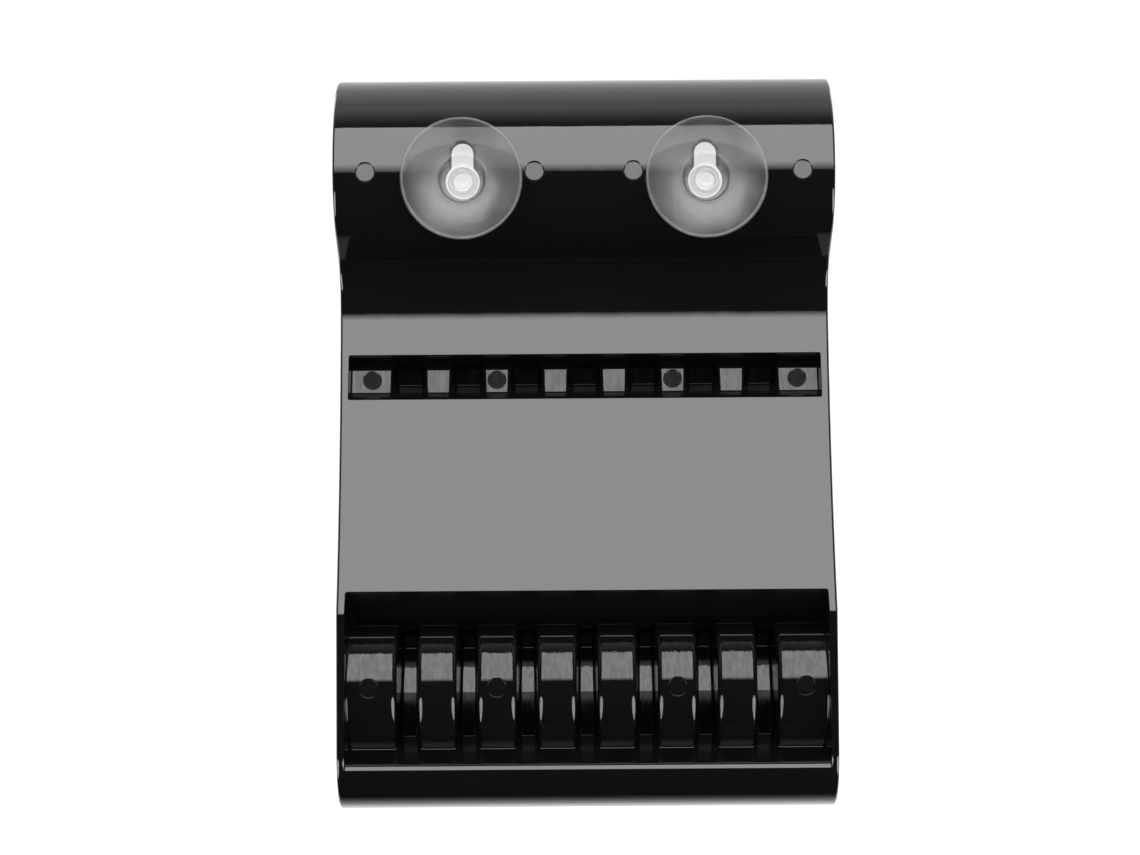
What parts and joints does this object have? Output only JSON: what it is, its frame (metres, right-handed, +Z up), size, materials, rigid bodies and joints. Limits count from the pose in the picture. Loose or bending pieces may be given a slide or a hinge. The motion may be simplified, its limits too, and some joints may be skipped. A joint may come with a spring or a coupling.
{
  "type": "suction-mounted slotted wall rack",
  "caption": "One-piece S-curved black plastic rack with toothed rail and slotted bays, hung on clear suction cups in keyholes.",
  "frame": {"origin": "on the wall plane that the suction cup rims touch, midway between the two cup axes", "axes": "+Z up the wall, +Y away from the wall into the room, +X to the right when the back of the shell is faced"},
  "size_m": [0.166, 0.0532, 0.2462],
  "materials": {
    "black_plastic": "high gloss injection-moulded black plastic with matt ejector-pin marks",
    "clear_vinyl": "clear, slightly milky soft vinyl"
  },
  "bodies": {
    "rack": {"rack_shell": "black_plastic"},
    "cup_left": {"suction_cup_left": "clear_vinyl"},
    "cup_right": {"suction_cup_right": "clear_vinyl"}
  },
  "joints": [
    {"name": "keyhole_slide_left", "type": "slide", "parent": "rack", "child": "cup_left", "axis": [0, 0, 1], "range_m": [0, 0.0091]},
    {"name": "keyhole_slide_right", "type": "slide", "parent": "rack", "child": "cup_right", "axis": [0, 0, 1], "range_m": [0, 0.0091]}
  ]
}
